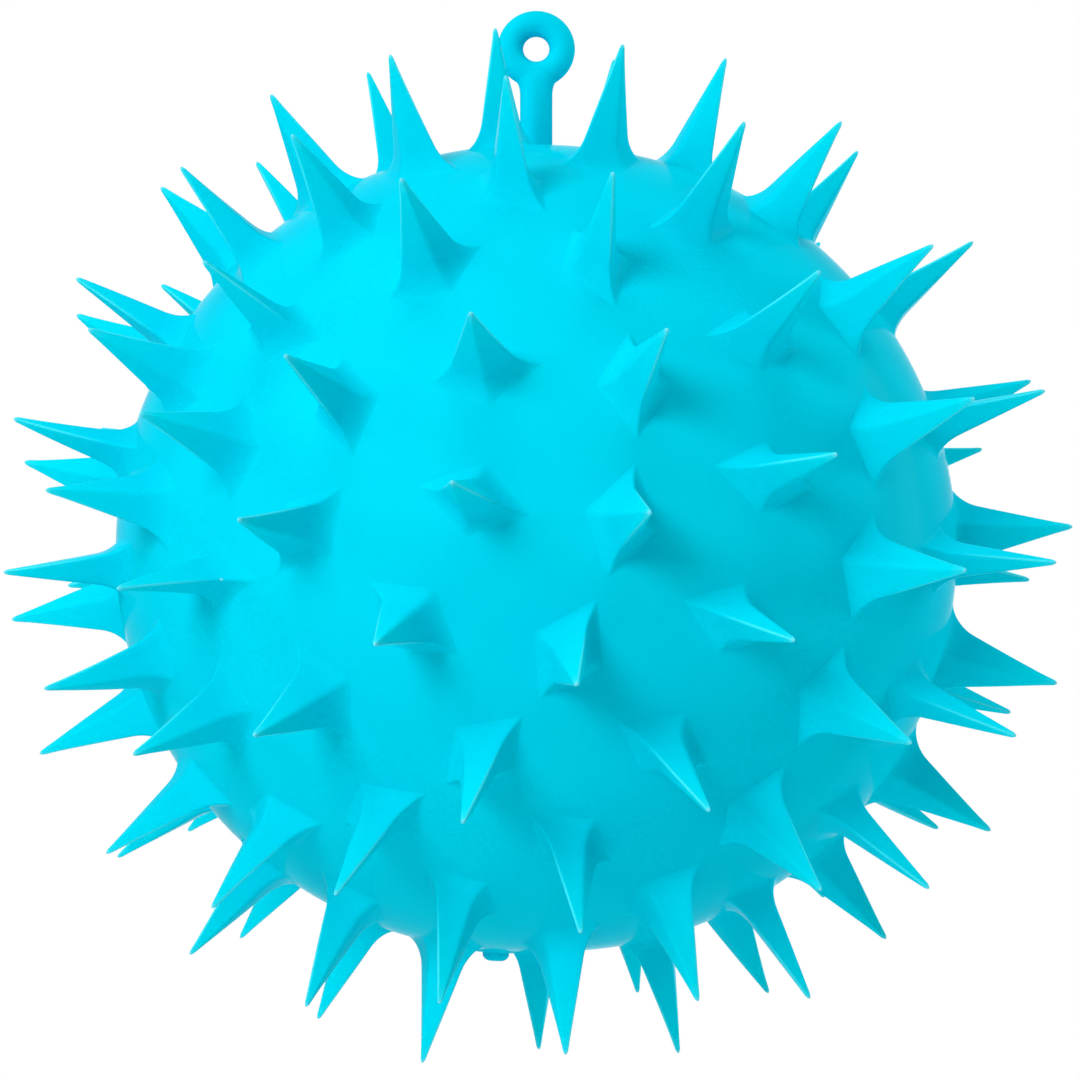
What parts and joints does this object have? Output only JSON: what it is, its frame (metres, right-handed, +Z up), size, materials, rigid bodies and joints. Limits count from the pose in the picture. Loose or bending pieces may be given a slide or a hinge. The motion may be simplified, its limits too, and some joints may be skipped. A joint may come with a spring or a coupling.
{
  "type": "spiky sensory ball",
  "caption": "Hollow soft rubber ball covered with four-sided tapering spikes, with a moulded hanging loop on top and a small fill plug below, made to be squeezed, bounced and hung.",
  "frame": {"origin": "under the middle of the ball, on the plane of the lowest spike tips that it stands on", "axes": "+Z up through the hanging loop, +Y along the hole of the loop's eye from front to back, +X to the right seen from the front"},
  "size_m": [0.1204, 0.1198, 0.1201],
  "materials": {
    "soft_rubber": "satin"
  },
  "bodies": {
    "ball": {"ball_skin": "soft_rubber", "fill_plug": "soft_rubber", "spikes_level_01": "soft_rubber"},
    "level_02": {"spikes_level_02": "soft_rubber"},
    "level_03": {"spikes_level_03": "soft_rubber"},
    "level_04": {"spikes_level_04": "soft_rubber"},
    "level_05": {"spikes_level_05": "soft_rubber"},
    "level_06": {"spikes_level_06": "soft_rubber"},
    "level_07": {"spikes_level_07": "soft_rubber"},
    "level_08": {"spikes_level_08": "soft_rubber"},
    "level_09": {"spikes_level_09": "soft_rubber"},
    "level_10": {"spikes_level_10": "soft_rubber"},
    "crown": {"spikes_level_11": "soft_rubber", "loop_foot": "soft_rubber"},
    "loop": {"hanging_loop": "soft_rubber"}
  },
  "joints": [
    {"name": "squeeze", "type": "slide", "parent": "ball", "child": "crown", "axis": [0, 0, -1], "range_m": [0, 0.018], "stiffness_N_per_m": 600, "deforming": ["ball_skin"]},
    {"name": "squeeze_level_02", "type": "slide", "parent": "ball", "child": "level_02", "axis": [0, 0, -1], "range_m": [0, 0.0018]},
    {"name": "squeeze_level_03", "type": "slide", "parent": "ball", "child": "level_03", "axis": [0, 0, -1], "range_m": [0, 0.0036]},
    {"name": "squeeze_level_04", "type": "slide", "parent": "ball", "child": "level_04", "axis": [0, 0, -1], "range_m": [0, 0.0054]},
    {"name": "squeeze_level_05", "type": "slide", "parent": "ball", "child": "level_05", "axis": [0, 0, -1], "range_m": [0, 0.0072]},
    {"name": "squeeze_level_06", "type": "slide", "parent": "ball", "child": "level_06", "axis": [0, 0, -1], "range_m": [0, 0.009]},
    {"name": "squeeze_level_07", "type": "slide", "parent": "ball", "child": "level_07", "axis": [0, 0, -1], "range_m": [0, 0.0108]},
    {"name": "squeeze_level_08", "type": "slide", "parent": "ball", "child": "level_08", "axis": [0, 0, -1], "range_m": [0, 0.0126]},
    {"name": "squeeze_level_09", "type": "slide", "parent": "ball", "child": "level_09", "axis": [0, 0, -1], "range_m": [0, 0.0144]},
    {"name": "squeeze_level_10", "type": "slide", "parent": "ball", "child": "level_10", "axis": [0, 0, -1], "range_m": [0, 0.0162]},
    {"name": "loop_bend", "type": "hinge", "parent": "crown", "child": "loop", "pos_m": [0, 0, 0.10628], "axis": [1, 0, 0], "range_deg": [-55, 55], "stiffness_Nm_per_rad": 0.01}
  ],
  "couplings": [
    {"joint": "squeeze_level_02", "follows": "squeeze", "ratio": 0.1},
    {"joint": "squeeze_level_03", "follows": "squeeze", "ratio": 0.2},
    {"joint": "squeeze_level_04", "follows": "squeeze", "ratio": 0.3},
    {"joint": "squeeze_level_05", "follows": "squeeze", "ratio": 0.4},
    {"joint": "squeeze_level_06", "follows": "squeeze", "ratio": 0.5},
    {"joint": "squeeze_level_07", "follows": "squeeze", "ratio": 0.6},
    {"joint": "squeeze_level_08", "follows": "squeeze", "ratio": 0.7},
    {"joint": "squeeze_level_09", "follows": "squeeze", "ratio": 0.8},
    {"joint": "squeeze_level_10", "follows": "squeeze", "ratio": 0.9}
  ]
}
